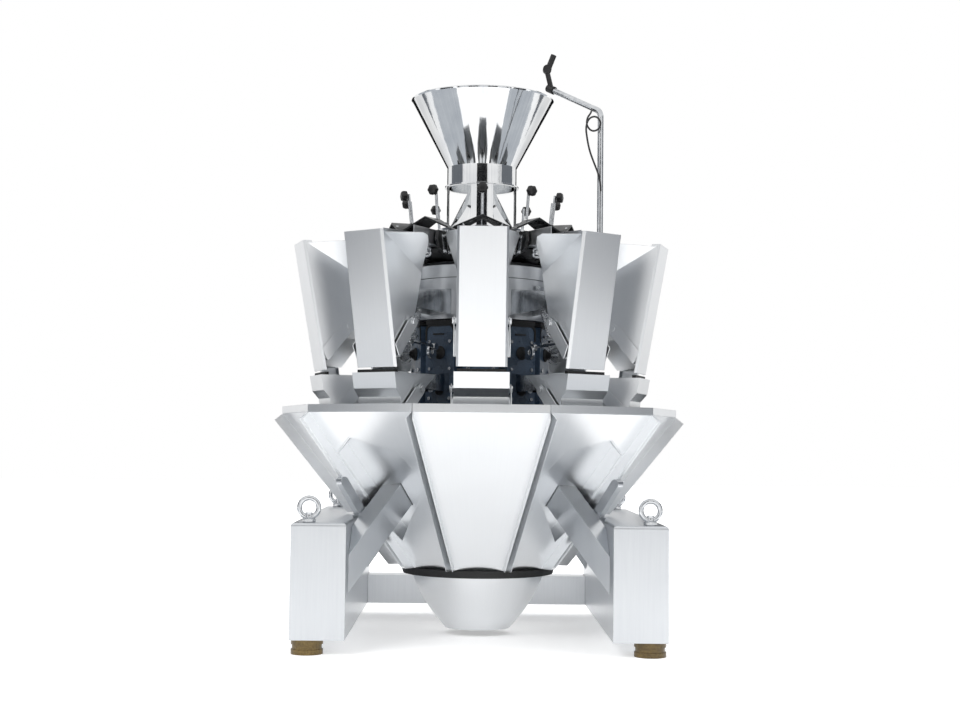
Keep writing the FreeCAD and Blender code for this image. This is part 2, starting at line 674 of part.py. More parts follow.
def feeder_cover():
    """Ridged cover plate across the pan, held down by the star knob's rod."""
    drop = SHEET * 1.2
    ridge = [at(COVER_INNER, -COVER_HALF, COVER_EAVE), at(COVER_INNER, 0, COVER_PEAK),
             at(COVER_INNER, COVER_HALF, COVER_EAVE), at(COVER_INNER, COVER_HALF, COVER_EAVE - drop),
             at(COVER_INNER, 0, COVER_PEAK - drop), at(COVER_INNER, -COVER_HALF, COVER_EAVE - drop)]
    roof = face_of(ridge).extrude(Vector(0, COVER_INNER - COVER_OUTER, 0))
    pitch = (COVER_PEAK - COVER_EAVE) / COVER_HALF
    near, far = COVER_INNER + 15, COVER_OUTER - 15
    lugs = []
    for sign in (-1, 1):
        v = sign * (pan_half(near) - SHEET)
        top = COVER_PEAK - abs(v) * pitch - drop / 2
        lug = slab([(near, PAN_TOP + SEAT), (far, PAN_TOP + SEAT), (far, top), (near, top)], 0, SHEET)
        lug.rotate(at(near, 0, 0), UP, sign * math.degrees(PAN_TAPER))
        lug.translate(Vector(v - SHEET / 2, 0, 0))
        lugs.append(lug)
    return fused([roof] + lugs)


def feeder_drive():
    """Vibrating drive under a pan: a tapered rubber skirt and a cast head."""
    low = [at(DRIVE_INNER, -40, DRUM_TOP + SEAT), at(DRIVE_INNER, 40, DRUM_TOP + SEAT),
           at(DRUM_RADIUS - 14, 58, DRUM_TOP + SEAT), at(DRUM_RADIUS - 14, -58, DRUM_TOP + SEAT)]
    high = [at(DRIVE_INNER + 6, -30, PAN_FLOOR - SEAT), at(DRIVE_INNER + 6, 30, PAN_FLOOR - SEAT),
            at(DRIVE_OUTER - 60, 40, PAN_FLOOR - SEAT), at(DRIVE_OUTER - 60, -40, PAN_FLOOR - SEAT)]
    wires = [Part.makePolygon(points + [points[0]]) for points in (low, high)]
    return Part.makeLoft(wires, True, True)


def knob_rod():
    return rod(at(ROD_FOOT_U, 0, COVER_PEAK + 2 * SEAT), at(ROD_HEAD_U, 0, KNOB_Z + 6), ROD_RADIUS)


def star_knob():
    """Lobed clamping knob, its axis pointing outwards."""
    u = ROD_HEAD_U + ROD_RADIUS + SEAT
    points = []
    for i in range(3 * KNOB_LOBES):
        a = 2 * math.pi * (i - 0.5) / (3 * KNOB_LOBES)
        r = KNOB_RADIUS * (0.84 if i % 3 == 2 else 1.28)
        points.append(at(u, r * math.sin(a), KNOB_Z + r * math.cos(a)))
    return face_of(points).extrude(Vector(0, -KNOB_THICK, 0))


def centre_drive():
    """Drive of the dispersion cone on the middle of the cap."""
    cone_floor = CONE_RIM_Z - CONE_SKIRT
    return revolved([(0, DRUM_TOP + SEAT), (CONE_DRIVE_RADIUS + 12, DRUM_TOP + SEAT),
                     (CONE_DRIVE_RADIUS, DRUM_TOP + 20), (CONE_DRIVE_RADIUS, cone_floor - SEAT),
                     (0, cone_floor - SEAT)])


# ---------------------------------------------------------------- infeed
def dispersion_cone():
    """Steep spreading cone with a floor, a short upright skirt and a blunt tip."""
    floor_z = CONE_RIM_Z - CONE_SKIRT
    return revolved([(0, floor_z), (CONE_RIM, floor_z), (CONE_RIM, CONE_RIM_Z),
                     (CONE_TIP, CONE_APEX_Z), (0, CONE_APEX_Z)])


def infeed_funnel():
    """Conical funnel with a rolled lip, a round collar and four flat legs on a ring."""
    r, wall = COLLAR_RADIUS, SHEET
    shell = revolved([(FUNNEL_RIM, FUNNEL_TOP), (FUNNEL_RIM + 4, FUNNEL_TOP - 3),
                      (FUNNEL_RIM + 1, FUNNEL_TOP - 6), (r, COLLAR_TOP), (r, COLLAR_BOTTOM),
                      (r + 6, COLLAR_BOTTOM), (r + 6, COLLAR_BOTTOM - 4), (r - wall, COLLAR_BOTTOM - 4),
                      (r - wall, COLLAR_TOP), (FUNNEL_RIM - wall, FUNNEL_TOP)])
    foot_z = RING_Z + RING_THICK + SEAT
    sleeve = revolved([(r, COLLAR_BOTTOM - 2), (r, foot_z + wall), (RING_OUTER - 6, foot_z + wall),
                       (RING_OUTER - 6, foot_z), (r - wall, foot_z), (r - wall, COLLAR_BOTTOM - 2)])
    half = FUNNEL_LEG_WIDTH / 2
    legs = []
    for i in range(FUNNEL_LEGS):
        strip = Part.makeBox(2 * half, RING_OUTER, COLLAR_BOTTOM, Vector(-half, -RING_OUTER, 0))
        legs.append(sleeve.common(turned(strip, i * 360.0 / FUNNEL_LEGS)))
    return fused([shell] + legs)


def funnel_stand():
    """Ring under the funnel's legs on five posts that pass between the pans."""
    ring = revolved([(RING_INNER, RING_Z), (RING_OUTER, RING_Z), (RING_OUTER, RING_Z + RING_THICK),
                     (RING_INNER, RING_Z + RING_THICK)])
    radius = (RING_INNER + RING_OUTER) / 2
    pieces = [ring]
    for i in range(STAND_POSTS):
        a = HEAD_PITCH / 2 + i * 360.0 / STAND_POSTS
        post = rod(at(radius, 0, DRUM_TOP + SEAT), at(radius, 0, RING_Z + 1), 6)
        pieces.append(turned(post, a))
    return fused(pieces)


# ---------------------------------------------------------------- level sensor
def bent_path(corners, radius):
    """Straight runs through the corners, joined by arcs of one bend radius."""
    edges = []
    last = corners[0]
    for before, corner, after in zip(corners, corners[1:], corners[2:]):
        back, ahead = before - corner, after - corner
        back.normalize()
        ahead.normalize()
        turn = math.pi - back.getAngle(ahead)
        trim = radius * math.tan(turn / 2)
        inward = back + ahead
        inward.normalize()
        start, end = corner + back * trim, corner + ahead * trim
        middle = corner + inward * (radius / math.cos(turn / 2) - radius)
        edges += [Part.LineSegment(last, start).toShape(), Part.Arc(start, middle, end).toShape()]
        last = end
    edges.append(Part.LineSegment(last, corners[-1]).toShape())
    return Part.Wire(edges)


def sensor_post():
    """Bent tube on the drum that holds the level sensor above the funnel."""
    root_u = DRUM_RADIUS + 4
    knee = at(SENSOR_RADIUS, 0, SENSOR_ARM_Z)
    bend = at(SENSOR_RADIUS, 0, SENSOR_BEND_Z)
    tip = turned_point(SENSOR_TIP, -SENSOR_AZIMUTH)
    start = at(root_u, 0, SENSOR_ARM_Z)
    path = bent_path([start, knee, bend, tip], SENSOR_BEND)
    section = Part.Face(Part.Wire(Part.makeCircle(SENSOR_TUBE, start, knee - start)))
    flange = slab([(DRUM_RADIUS + SEAT, SENSOR_ARM_Z - 25), (DRUM_RADIUS + 6, SENSOR_ARM_Z - 25),
                   (DRUM_RADIUS + 6, SENSOR_ARM_Z + 25), (DRUM_RADIUS + SEAT, SENSOR_ARM_Z + 25)], -18, 18)
    return turned(fused([flange, path.makePipe(section)]), SENSOR_AZIMUTH)


def turned_point(point, azimuth):
    a = math.radians(azimuth)
    return Vector(point.x * math.cos(a) - point.y * math.sin(a),
                  point.x * math.sin(a) + point.y * math.cos(a), point.z)


SENSOR_TIP = Vector(197.0, -92.0, 1502.0)


def sensor_head():
    """Clamp, sensor barrel and its two knobs at the end of the arm."""
    bend = turned_point(at(SENSOR_RADIUS, 0, SENSOR_BEND_Z), SENSOR_AZIMUTH)
    along = SENSOR_TIP - bend
    along.normalize()
    clamp = Part.makeCylinder(11, 26, SENSOR_TIP + along * SEAT, along)
    middle = SENSOR_TIP + along * 13
    stem = rod(middle, middle + Vector(-12, 0, 50), 7)
    knob = Part.makeCylinder(12, 18, middle + Vector(-12, -9, 56), Vector(0, 1, 0))
    barrel = rod(middle + Vector(-12, 0, 50), middle + Vector(6, 0, 96), 8)
    return fused([clamp, stem, knob, barrel])


# from the arm, once round in a slack loop, then down to the socket in the post
CABLE_POINTS = (
    (291.0, -217.0, 1424.0), (289.0, -234.0, 1412.0), (277.0, -240.0, 1396.0), (275.0, -241.0, 1375.0),
    (289.0, -242.0, 1358.0), (308.0, -245.0, 1363.0), (314.0, -249.0, 1382.0), (301.0, -253.0, 1398.0),
    (281.0, -254.0, 1393.0), (272.0, -253.0, 1369.0), (276.0, -252.0, 1338.0), (283.0, -250.0, 1305.0),
    (295.0, -247.0, 1274.0), (307.0, -244.0, 1246.0), (313.5, -243.0, 1220.0), (313.9, -242.0, 1198.0),
)


def rounded_path(points):
    """Straight runs joined by tangent arcs, each as large as its two runs allow."""
    corners = [Vector(*p) for p in points]
    edges = []
    last = corners[0]
    radii = []
    for before, corner, after in zip(corners, corners[1:], corners[2:]):
        back = before - corner
        ahead = after - corner
        trim = 0.45 * min(back.Length, ahead.Length)
        back.normalize()
        ahead.normalize()
        turn = math.pi - back.getAngle(ahead)
        radius = trim / math.tan(turn / 2)
        radii.append(radius)
        start = corner + back * trim
        end = corner + ahead * trim
        inward = back + ahead
        inward.normalize()
        centre_gap = math.hypot(radius, trim)
        middle = corner + inward * (centre_gap - radius)
        edges.append(Part.LineSegment(last, start).toShape())
        edges.append(Part.Arc(start, middle, end).toShape())
        last = end
    edges.append(Part.LineSegment(last, corners[-1]).toShape())
    return Part.Wire(edges), radii


def sensor_cable():
    """Signal lead of the level sensor."""
    path, radii = rounded_path(CABLE_POINTS)
    start = Vector(*CABLE_POINTS[0])
    heading = Vector(*CABLE_POINTS[1]) - start
    section = Part.Face(Part.Wire(Part.makeCircle(CABLE_RADIUS, start, heading)))
    tube = path.makePipe(section)
    expected = math.pi * CABLE_RADIUS ** 2 * path.Length
    print("cable length %.0f mm, volume / expected %.3f" % (path.Length, tube.Volume / expected))
    print("smallest cable radius %.1f mm" % min(radii))
    return tube


# ---------------------------------------------------------------- write the nodes
def main():
    os.makedirs("parts", exist_ok=True)
    centres = foot_centres()
    right = side_box()
    export("floor_feet", [foot(c) for c in centres])
    export("side_boxes", [right, mirrored(right, Vector(1, 0, 0))])
    export("rear_beam", [rear_beam()])
    export("lifting_eyes", [lifting_eye(c) for c in centres])
    export("support_legs", [support_leg(a) for a in LEG_AZIMUTHS])
    export("leg_clamps", [turned(leg_clamp(side), a) for a, side in zip(LEG_AZIMUTHS, (1, -1, 1, -1))])
    export("centre_base", [centre_base()])
    plain = (0, 2, 3, 5, 7, 8)
    panel = chute_panel()
    export("chute_panels", [beside_boxes(turned(panel, k * HEAD_PITCH)) for k in plain])
    left, right = leg_panel(-1), leg_panel(1)
    pairs = ((right, 1), (left, 4), (right, 6), (left, 9))
    export("chute_leg_panels", [beside_boxes(turned(shape, k * HEAD_PITCH))
                                for shapes, k in pairs for shape in shapes])
    export("throat_collar", [throat()])
    export("discharge_bowl", [bowl()])
    export("body_drum", [body_drum()])
    export("actuator_boxes", every_head(actuator_box()))
    export("hopper_hangers", [s for part in hanger() for s in every_head(part)])
    export("feed_hoppers", every_head(feed_hopper()))
    export("weigh_hoppers", every_head(weigh_hopper()))
    feed_gate = gate(FEED_HINGE, FEED_GATE_ANGLE, FEED_GATE_REACH, FEED_HALF)
    weigh_gate = gate(WEIGH_HINGE, WEIGH_GATE_ANGLE, WEIGH_GATE_REACH, WEIGH_HALF)
    for k in range(HEADS):
        export("feed_gate_%d" % k, [turned(feed_gate, k * HEAD_PITCH)])
        export("weigh_gate_%d" % k, [turned(weigh_gate, k * HEAD_PITCH)])
    export("feeder_pans", every_head(feeder_pan()))
    export("feeder_covers", every_head(feeder_cover()))
    export("feeder_drives", every_head(feeder_drive()) + [centre_drive()])
    export("knob_rods", every_head(knob_rod()))
    export("star_knobs", every_head(star_knob()))
    export("dispersion_cone", [dispersion_cone()])
    export("infeed_funnel", [infeed_funnel()])
    export("funnel_stand", [funnel_stand()])
    export("sensor_post", [sensor_post()])
    export("sensor_head", [sensor_head()])
    export("sensor_cable", [sensor_cable()])


main()
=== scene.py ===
# %% [markdown]
# # A ten-head multihead weigher
# This machine portions food: product falls on a spreading cone, ten vibrating pans carry it
# outwards, and each pan fills a feed hopper and then a weigh hopper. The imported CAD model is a
# fixed frame here. Blender adds the finishes and the small parts, and never moves the frame.

import math
import random

import bmesh
import bpy
from mathutils import Matrix, Vector


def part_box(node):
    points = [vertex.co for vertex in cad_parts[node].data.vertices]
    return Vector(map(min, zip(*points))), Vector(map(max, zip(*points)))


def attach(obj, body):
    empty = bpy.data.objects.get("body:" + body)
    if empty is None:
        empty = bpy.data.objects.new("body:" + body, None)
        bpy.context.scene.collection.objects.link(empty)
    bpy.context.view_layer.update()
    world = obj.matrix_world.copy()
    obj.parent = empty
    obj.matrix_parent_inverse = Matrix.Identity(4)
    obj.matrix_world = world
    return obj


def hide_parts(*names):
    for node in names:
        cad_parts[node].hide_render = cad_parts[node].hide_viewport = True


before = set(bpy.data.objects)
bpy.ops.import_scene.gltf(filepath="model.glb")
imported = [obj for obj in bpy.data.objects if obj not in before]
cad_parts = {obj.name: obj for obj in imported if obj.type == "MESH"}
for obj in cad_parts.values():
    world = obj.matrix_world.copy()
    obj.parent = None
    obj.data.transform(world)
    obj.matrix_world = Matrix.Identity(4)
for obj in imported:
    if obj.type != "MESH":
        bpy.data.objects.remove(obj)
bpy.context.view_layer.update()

# %% [markdown]
# Drawings of machines are in millimetres, and Blender works in metres, so every length below is
# written in millimetres and multiplied once. The ten heads stand in a ring. A head is described
# in its own frame: u runs outwards, v runs across and z runs up.

# %% Measures and the head frame
MM = 0.001
HEADS = 10
HEAD_PITCH = 360 / HEADS
UP = Vector((0, 0, 1))


def at(u, v, z, azimuth=0.0):
    """A point in metres from a head's own u, v, z in millimetres, turned to its azimuth."""
    a = math.radians(azimuth)
    x, y = v * MM, -u * MM
    return Vector((x * math.cos(a) - y * math.sin(a), x * math.sin(a) + y * math.cos(a), z * MM))


def node_span(name):
    """Lowest and highest corner of a CAD node in millimetres."""
    low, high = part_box(name)
    return low / MM, high / MM


HEAD_AZIMUTHS = [k * HEAD_PITCH for k in range(HEADS)]
DRUM_LOW, DRUM_HIGH = node_span("body_drum")
print("drum top at %.0f mm" % DRUM_HIGH.z)

# %% [markdown]
# The camera stands in front of the machine, a little below its middle, and looks slightly up.
# A 56 mm lens from four metres away keeps the upright edges nearly parallel.

# %% Camera
CAMERA_FROM = Vector((-0.040, -4.200, 0.534))
CAMERA_TO = Vector((0, 0, 0.758))
CAMERA_ROLL = math.radians(0.6)

camera_data = bpy.data.cameras.new("camera")
camera_data.lens = 56.25
camera_data.sensor_width = 36
camera = bpy.data.objects.new("camera", camera_data)
bpy.context.scene.collection.objects.link(camera)
camera.location = CAMERA_FROM
camera.rotation_mode = "QUATERNION"
level = (CAMERA_TO - CAMERA_FROM).to_track_quat("-Z", "Y")
camera.rotation_quaternion = level @ Matrix.Rotation(CAMERA_ROLL, 4, "Z").to_quaternion()
bpy.context.scene.camera = camera
print("camera is %.2f m from the axis" % (CAMERA_TO - CAMERA_FROM).length)

# %% [markdown]
# A material in Blender is a small network of nodes. One helper adds a node, sets its values and
# joins it to others, so each recipe below reads as a list of steps. Colours are written as the
# hex codes of a paint chart. Blender calculates in linear light, so one function converts them.

# %% Colour and node helpers


def linear(code):
    """Linear RGBA from an sRGB hex code such as "#c0c4c8"."""
    values = [int(code[i:i + 2], 16) / 255 for i in (1, 3, 5)]
    return [v / 12.92 if v <= 0.04045 else ((v + 0.055) / 1.055) ** 2.4 for v in values] + [1.0]


def add_node(tree, kind, props=None, values=None, links=None):
    """Add a node; values set its sockets and links join them to other nodes' outputs."""
    node = tree.nodes.new(kind)
    for name, value in (props or {}).items():
        setattr(node, name, value)
    for socket, value in (values or {}).items():
        node.inputs[socket].default_value = value
    for socket, source in (links or {}).items():
        tree.links.new(source, node.inputs[socket])
    return node


def start_material(name):
    """An empty node material with its output node."""
    material = bpy.data.materials.new(name)
    material.use_nodes = True
    tree = material.node_tree
    tree.nodes.clear()
    return material, tree, add_node(tree, "ShaderNodeOutputMaterial")


def ramp(tree, source, stops):
    """A colour ramp with (position, hex or grey value) stops."""
    node = add_node(tree, "ShaderNodeValToRGB", links={"Fac": source})
    elements = node.color_ramp.elements
    while len(elements) < len(stops):
        elements.new(0.5)
    for element, (position, colour) in zip(elements, stops):
        element.position = position
        element.color = linear(colour) if isinstance(colour, str) else [colour] * 3 + [1.0]
    return node.outputs["Color"]


print("dark steel grey is", [round(v, 3) for v in linear("#4a4f55")])

# %% [markdown]
# ## Finishes
# Nearly all of the machine is stainless steel, in two finishes. Brushed sheet was drawn along a
# belt, which leaves fine parallel scratches that stretch each highlight. Polished sheet was
# buffed, so it mirrors its surroundings with only a faint ripple. Both are the same metal: only
# the roughness and the small relief differ. The scratches follow the head round the machine, so
# their pattern is laid out in angle and height. Real scratches are 0.2 mm apart, too fine to see
# from four metres, and are drawn a few millimetres apart.

# %% Stainless steel


def steel(name, colour, roughness, scratch_mm, scratch, ripple_mm, ripple, edge_mm=1.2):
    """Stainless sheet with scratches along its height, a slow ripple and softened edges."""
    material, tree, output = start_material(name)
    place = add_node(tree, "ShaderNodeTexCoord").outputs["Object"]
    split = add_node(tree, "ShaderNodeSeparateXYZ", links={"Vector": place})
    angle = add_node(tree, "ShaderNodeMath", {"operation": "ARCTAN2"},
                     links={0: split.outputs["X"], 1: split.outputs["Y"]})
    round_mm = 350 / scratch_mm       # scratches in one radian at 350 mm from the axis
    scaled = add_node(tree, "ShaderNodeCombineXYZ", links={"X": angle.outputs[0], "Z": split.outputs["Z"]})
    grain_place = add_node(tree, "ShaderNodeVectorMath", {"operation": "MULTIPLY"},
                           {1: (round_mm, 1, 1000 / (scratch_mm * 60))}, {0: scaled.outputs[0]})
    grain = add_node(tree, "ShaderNodeTexNoise", values={"Scale": 1.0, "Detail": 3.0, "Roughness": 0.6},
                     links={"Vector": grain_place.outputs[0]})
    cloud = add_node(tree, "ShaderNodeTexNoise", values={"Scale": 1000 / ripple_mm, "Detail": 2.0},
                     links={"Vector": place})
    both = add_node(tree, "ShaderNodeMath", {"operation": "ADD"},
                    links={0: grain.outputs["Fac"], 1: cloud.outputs["Fac"]})
    tone = add_node(tree, "ShaderNodeMapRange", values={"From Min": 0.7, "From Max": 1.3,
                    "To Min": 0.0, "To Max": 1.0}, links={"Value": both.outputs[0]})
    shades = ramp(tree, tone.outputs[0], [(0.0, colour[0]), (1.0, colour[1])])
    rough = add_node(tree, "ShaderNodeMapRange", values={"From Min": 0.3, "From Max": 0.7,
                     "To Min": roughness[0], "To Max": roughness[1]}, links={"Value": grain.outputs["Fac"]})
    soft_edge = add_node(tree, "ShaderNodeBevel", {"samples": 4}, {"Radius": edge_mm * MM})
    lines = add_node(tree, "ShaderNodeBump", values={"Strength": scratch, "Distance": 0.0004},
                     links={"Height": grain.outputs["Fac"], "Normal": soft_edge.outputs[0]})
    waves = add_node(tree, "ShaderNodeBump", values={"Strength": ripple, "Distance": 0.004},
                     links={"Height": cloud.outputs["Fac"], "Normal": lines.outputs[0]})
    shader = add_node(tree, "ShaderNodeBsdfPrincipled", values={"Metallic": 1.0},
                      links={"Base Color": shades, "Roughness": rough.outputs[0],
                             "Normal": waves.outputs[0]})
    tree.links.new(shader.outputs[0], output.inputs["Surface"])
    return material


# cold-rolled sheet with a fine grain: a soft, pale, even sheen
SATIN_STEEL = steel("satin_stainless_sheet", ("#e8eaec", "#ebedef"), (0.275, 0.285), 4.0, 0.0, 160, 0.01)
# belt-brushed sheet: the same metal, duller, with the scratches showing
BRUSHED_STEEL = steel("brushed_stainless_sheet", ("#cfd2d6", "#d6d9dc"), (0.29, 0.31), 3.0, 0.002, 220, 0.02)
# buffed sheet: mirrors what is round it, with the slow ripple of hand polishing
POLISHED_STEEL = steel("polished_stainless", ("#d6d8db", "#eceded"), (0.05, 0.10), 9.0, 0.06, 60, 0.10, 0.8)
# small turned and cast parts: bright, with sharp dark reflections
BRIGHT_STEEL = steel("bright_stainless_fittings", ("#b9bcc0", "#dcdee0"), (0.10, 0.18), 2.0, 0.10, 12, 0.08, 0.6)
# zinc-plated screws, slightly duller and yellower than stainless
ZINC_PLATE = steel("zinc_plated_steel", ("#8d9093", "#b4b6b6"), (0.26, 0.38), 1.5, 0.10, 6, 0.10, 0.4)
print("steels", [m.name for m in bpy.data.materials if "steel" in m.name or "stainless" in m.name])

# %% [markdown]
# The rest is paint, plastic and rubber. None of these is metal to the light: each has a coloured
# body under a clear gloss, so metallic stays at 0 and the roughness says how sharp the gloss is.
# A small speckle in the colour and the relief keeps a plain black part from looking printed.

# %% Paint, plastic and rubber


def coating(name, dark, light, roughness, speckle_mm, relief, edge_mm=1.0):
    """A non-metal skin with a fine speckle in its colour, gloss and relief."""
    material, tree, output = start_material(name)
    place = add_node(tree, "ShaderNodeTexCoord").outputs["Object"]
    speckle = add_node(tree, "ShaderNodeTexNoise",
                       values={"Scale": 1000 / speckle_mm, "Detail": 4.0, "Roughness": 0.65},
                       links={"Vector": place})
    wear = add_node(tree, "ShaderNodeTexNoise", values={"Scale": 1000 / (speckle_mm * 18), "Detail": 2.0},
                    links={"Vector": place})
    both = add_node(tree, "ShaderNodeMath", {"operation": "MULTIPLY"},
                    links={0: speckle.outputs["Fac"], 1: wear.outputs["Fac"]})
    shades = ramp(tree, both.outputs[0], [(0.12, dark), (0.42, light)])
    rough = add_node(tree, "ShaderNodeMapRange", values={"From Min": 0.3, "From Max": 0.7,
                     "To Min": roughness[0], "To Max": roughness[1]}, links={"Value": wear.outputs["Fac"]})
    soft_edge = add_node(tree, "ShaderNodeBevel", {"samples": 4}, {"Radius": edge_mm * MM})
    skin = add_node(tree, "ShaderNodeBump", values={"Strength": relief, "Distance": 0.0006},
                    links={"Height": speckle.outputs["Fac"], "Normal": soft_edge.outputs[0]})
    shader = add_node(tree, "ShaderNodeBsdfPrincipled", values={"Metallic": 0.0, "IOR": 1.5},
                      links={"Base Color": shades, "Roughness": rough.outputs[0],
                             "Normal": skin.outputs[0]})
    tree.links.new(shader.outputs[0], output.inputs["Surface"])
    return material


# stove enamel on the drive housings: blue-grey with a half gloss
BLUE_ENAMEL = coating("blue_grey_stove_enamel", "#2f3d4e", "#4c5f75", (0.22, 0.34), 3, 0.05)
# powder coat on the feeder covers and magnets: black with a fine orange-peel
BLACK_POWDER = coating("black_powder_coat", "#08090a", "#1c1e20", (0.22, 0.42), 2.5, 0.20)
# glass-filled nylon knobs: moulded, nearly matt
BLACK_NYLON = coating("black_glass_filled_nylon", "#0b0b0c", "#1d1d1f", (0.35, 0.50), 1.5, 0.15)
# nitrile rubber of the collar and seals, also used as the black of the painted-shade strips
BLACK_RUBBER = coating("black_nitrile_rubber", "#0c0c0d", "#202123", (0.50, 0.68), 2, 0.25)
# cast polyurethane feet: amber brown and slightly waxy
BROWN_RUBBER = coating("amber_cast_polyurethane", "#4f3f22", "#8d7642", (0.32, 0.48), 6, 0.20)
# soft PVC jacket of the signal lead
CABLE_JACKET = coating("black_pvc_jacket", "#141516", "#2c2d2f", (0.30, 0.42), 1.2, 0.10, 0.3)
# moulded caps and pads
GREEN_POLYTHENE = coating("green_polythene_pad", "#0c5a3c", "#177a52", (0.40, 0.52), 2, 0.12)
RED_POLYTHENE = coating("red_polythene_cap", "#8e1c22", "#b8303a", (0.32, 0.46), 2, 0.12)
print(len(bpy.data.materials), "materials")

# %% [markdown]
# ## The lead first
# A lead is a soft thing of fixed length. This one leaves the level sensor's arm, hangs in one
# slack loop and drops to a gland in the post. It is drawn as a smooth NURBS curve with a round
# bevel, which is how Blender makes a tube that never kinks. The order of the curve and its pinned
# ends are set after the points exist, because a spline with no points can't take them.

# %% Sensor lead
LEAD_DIAMETER = 0.005
LEAD_ROUTE = [
    (0.2910, -0.217, 1.424), (0.2890, -0.234, 1.412), (0.2770, -0.240, 1.396), (0.2750, -0.241, 1.375),
    (0.2890, -0.242, 1.358), (0.3080, -0.245, 1.363), (0.3140, -0.249, 1.382), (0.3010, -0.253, 1.398),
    (0.2810, -0.254, 1.393), (0.2720, -0.253, 1.369), (0.2760, -0.252, 1.338), (0.2830, -0.250, 1.305),
    (0.2950, -0.247, 1.274), (0.3070, -0.244, 1.246), (0.3135, -0.243, 1.220), (0.3139, -0.242, 1.198),
]
lead_curve = bpy.data.curves.new("sensor_lead", "CURVE")
lead_curve.dimensions = "3D"
lead_curve.bevel_depth = LEAD_DIAMETER / 2
lead_curve.bevel_resolution = 4
lead_curve.resolution_u = 10
lead_curve.use_fill_caps = True
lead_line = lead_curve.splines.new("NURBS")
lead_line.points.add(len(LEAD_ROUTE) - 1)
for point, place in zip(lead_line.points, LEAD_ROUTE):
    point.co = (*place, 1)
lead_line.order_u = 3
lead_line.use_endpoint_u = True
lead_curve.materials.append(CABLE_JACKET)
lead = bpy.data.objects.new("sensor_lead", lead_curve)
bpy.context.scene.collection.objects.link(lead)
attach(lead, "machine")
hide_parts("sensor_cable")
print("lead has", len(LEAD_ROUTE), "control points")

# %% [markdown]
# ## Studio
# Polished steel has no look of its own: it shows the room. So the room is built first. A pale
# floor takes the shadow, soft lamps stand left, right and above, and the world is white to the
# camera and to reflections. Grey cards at both sides, which only reflections see, give the plates
# that are turned away their darker tone, as a photographer does with steel.

# %% Floor, world and lamps
scene = bpy.context.scene
scene.view_settings.view_transform = "Standard"

world = bpy.data.worlds.new("white_room")
scene.world = world
world.use_nodes = True
world.node_tree.nodes.clear()
world_output = add_node(world.node_tree, "ShaderNodeOutputWorld")


def seen_directly(tree):
    """1 for camera, glossy and transmission rays, 0 for the light that falls on things."""
    path = add_node(tree, "ShaderNodeLightPath")
    first = add_node(tree, "ShaderNodeMath", {"operation": "MAXIMUM"},
                     links={0: path.outputs["Is Camera Ray"], 1: path.outputs["Is Glossy Ray"]})
    return add_node(tree, "ShaderNodeMath", {"operation": "MAXIMUM"},
                    links={0: first.outputs[0], 1: path.outputs["Is Transmission Ray"]}).outputs[0]


AMBIENT = 0.55
strength = add_node(world.node_tree, "ShaderNodeMapRange", values={"To Min": AMBIENT, "To Max": 1.0},
                    links={"Value": seen_directly(world.node_tree)})
sky = add_node(world.node_tree, "ShaderNodeBackground", values={"Color": linear("#ffffff")},
               links={"Strength": strength.outputs[0]})
world.node_tree.links.new(sky.outputs[0], world_output.inputs["Surface"])

floor_material, tree, output = start_material("white_paper_floor")
paper_grain = add_node(tree, "ShaderNodeTexNoise", values={"Scale": 40.0, "Detail": 2.0},
                       links={"Vector": add_node(tree, "ShaderNodeTexCoord").outputs["Object"]})
paper_tone = ramp(tree, paper_grain.outputs["Fac"], [(0.0, "#f4f4f4"), (1.0, "#fbfbfb")])
paper = add_node(tree, "ShaderNodeBsdfDiffuse", links={"Color": paper_tone})
reach = add_node(tree, "ShaderNodeVectorMath", {"operation": "LENGTH"},
                 links={0: add_node(tree, "ShaderNodeTexCoord").outputs["Object"]})
far_glow = add_node(tree, "ShaderNodeMapRange", values={"From Min": 0.8, "From Max": 3.0,
                    "To Min": 0.36, "To Max": 1.0}, links={"Value": reach.outputs["Value"]})
camera_path = add_node(tree, "ShaderNodeLightPath")
camera_glow = add_node(tree, "ShaderNodeMath", {"operation": "MULTIPLY"},
                       links={0: far_glow.outputs[0], 1: camera_path.outputs["Is Camera Ray"]})
mirror_glow = add_node(tree, "ShaderNodeMath", {"operation": "MULTIPLY"}, {1: 0.30},
                       {0: seen_directly(tree)})
glow = add_node(tree, "ShaderNodeMath", {"operation": "MAXIMUM"},
                links={0: camera_glow.outputs[0], 1: mirror_glow.outputs[0]})
lift = add_node(tree, "ShaderNodeEmission", values={"Color": linear("#ffffff")},
                links={"Strength": glow.outputs[0]})
paper_sum = add_node(tree, "ShaderNodeAddShader", links={0: paper.outputs[0], 1: lift.outputs[0]})
tree.links.new(paper_sum.outputs[0], output.inputs["Surface"])

FLOOR_HALF = 14.0
floor_mesh = bpy.data.meshes.new("floor")
floor_mesh.from_pydata([(-FLOOR_HALF, -FLOOR_HALF, 0), (FLOOR_HALF, -FLOOR_HALF, 0),
                        (FLOOR_HALF, FLOOR_HALF, 0), (-FLOOR_HALF, FLOOR_HALF, 0)], [], [(0, 1, 2, 3)])
floor_mesh.materials.append(floor_material)
floor = bpy.data.objects.new("floor", floor_mesh)
scene.collection.objects.link(floor)


def soft_lamp(name, place, aim, size, power):
    """A square area lamp that looks at a point."""
    data = bpy.data.lights.new(name, "AREA")
    data.shape, data.size, data.energy = "SQUARE", size, power
    lamp = bpy.data.objects.new(name, data)
    scene.collection.objects.link(lamp)
    lamp.location = place
    lamp.rotation_mode = "QUATERNION"
    lamp.rotation_quaternion = (Vector(aim) - Vector(place)).to_track_quat("-Z", "Y")
    lamp.visible_glossy = False      # the steel shows the white room and the cards instead
    return lamp


